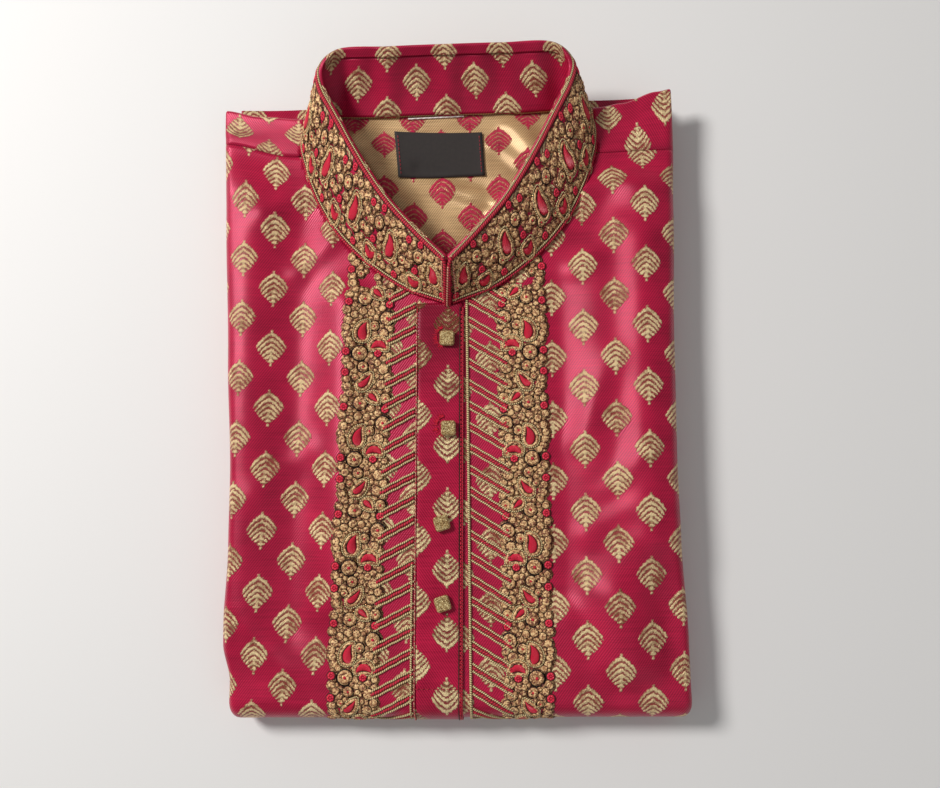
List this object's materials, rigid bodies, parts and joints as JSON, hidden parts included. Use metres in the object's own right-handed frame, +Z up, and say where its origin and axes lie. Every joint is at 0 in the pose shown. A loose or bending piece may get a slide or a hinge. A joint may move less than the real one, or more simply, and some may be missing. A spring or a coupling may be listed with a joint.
{
  "type": "kurta, folded",
  "caption": "Long brocade kurta with an embroidered stand-up collar and borders, button placket and bare neck label, folded flat.",
  "frame": {"origin": "centre of the folded garment, on the surface it lies on", "axes": "+X to the right across the front as seen from above, +Y from the bottom fold towards the collar, +Z up"},
  "size_m": [0.2515, 0.3632, 0.0447],
  "materials": {
    "brocade": "silky crimson twill with woven gold leaf motifs",
    "brocade_reverse": "reverse of the brocade, mostly floating gold thread",
    "zari_embroidery": "antique gold metallic thread with red and black cord",
    "label_tape": "near-black woven tape, bare",
    "glitter_button": "gold glitter set in clear gloss"
  },
  "bodies": {
    "root": {"front_panel": "brocade", "back_panel": "brocade_reverse", "folded_sides": "brocade", "folded_skirt": "brocade", "sleeve_left": "brocade", "sleeve_right": "brocade", "collar_band": "brocade", "collar_facing": "brocade", "collar_embroidery": "zari_embroidery", "placket": "brocade", "embroidery_left": "zari_embroidery", "embroidery_right": "zari_embroidery", "neck_label": "label_tape", "button_1": "glitter_button", "button_2": "glitter_button", "button_3": "glitter_button", "button_4": "glitter_button"}
  },
  "joints": []
}
